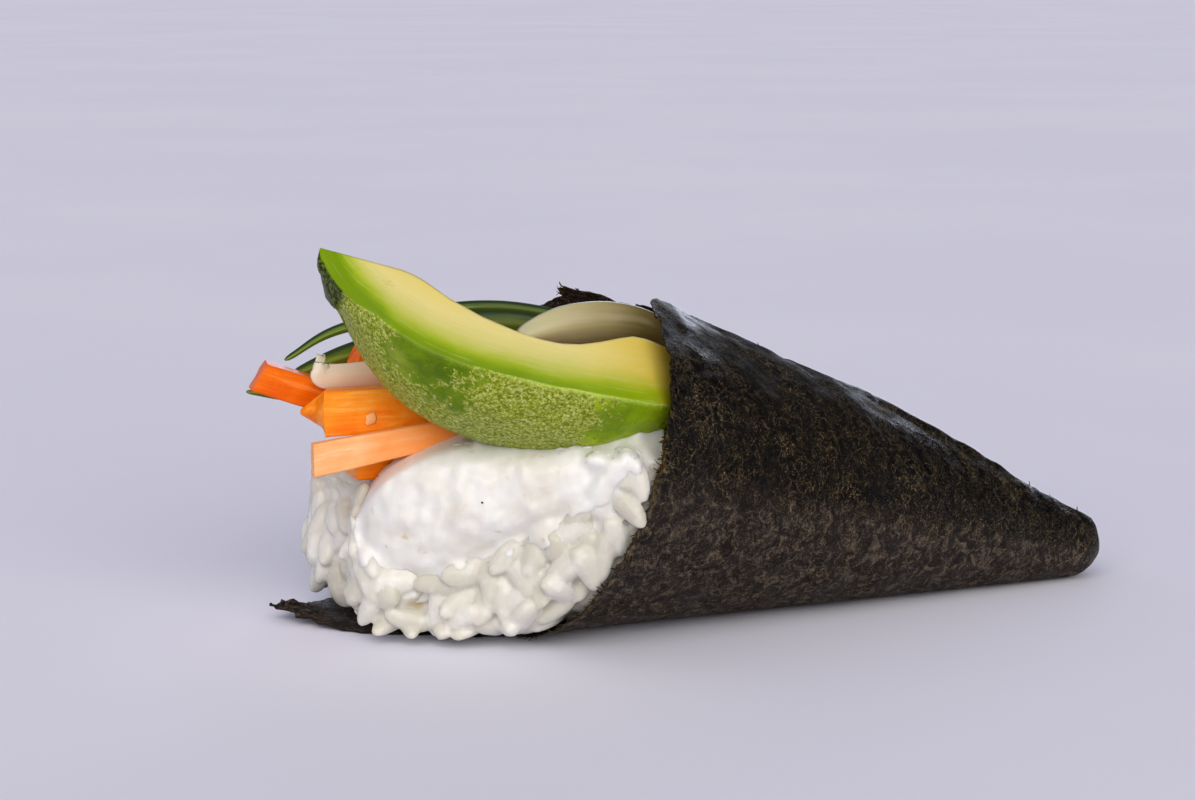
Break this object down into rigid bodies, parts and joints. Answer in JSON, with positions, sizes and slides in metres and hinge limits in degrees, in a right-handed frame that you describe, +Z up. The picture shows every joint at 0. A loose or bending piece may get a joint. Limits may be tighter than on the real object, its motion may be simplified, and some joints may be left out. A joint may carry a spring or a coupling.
{
  "type": "temaki hand roll",
  "caption": "Cone-shaped sushi hand roll lying on its side: a nori sheet rolled round rice, with cream cheese, carrot, onion, green onion and avocado at its open end.",
  "frame": {"origin": "middle of the footprint's bounding box, at the height of the surface it lies on", "axes": "+X along the roll from its open end to its point, -Y towards the side with the avocado and the cream cheese, +Z up"},
  "size_m": [0.141, 0.0666, 0.0599],
  "materials": {
    "nori": "dry, fibrous, half gloss",
    "avocado": "cut flesh, satin",
    "carrot": "cut, moist",
    "pale_carrot": "cut, moist",
    "onion": "moist, slightly translucent",
    "leaf": "smooth, waxy",
    "cheese": "smooth spread",
    "rice": "cooked grains, moist"
  },
  "bodies": {
    "root": {"nori_wrap": "nori", "rice_bed": "rice", "cream_cheese": "cheese", "avocado_slice": "avocado", "carrot_front": "carrot", "carrot_back": "carrot", "carrot_low": "carrot", "carrot_inner": "carrot", "carrot_ribbon": "pale_carrot", "onion_petal": "onion", "onion_strip": "onion", "leaf_thin": "leaf", "leaf_wide": "leaf", "leaf_low": "leaf", "leaf_under": "leaf"}
  },
  "joints": []
}
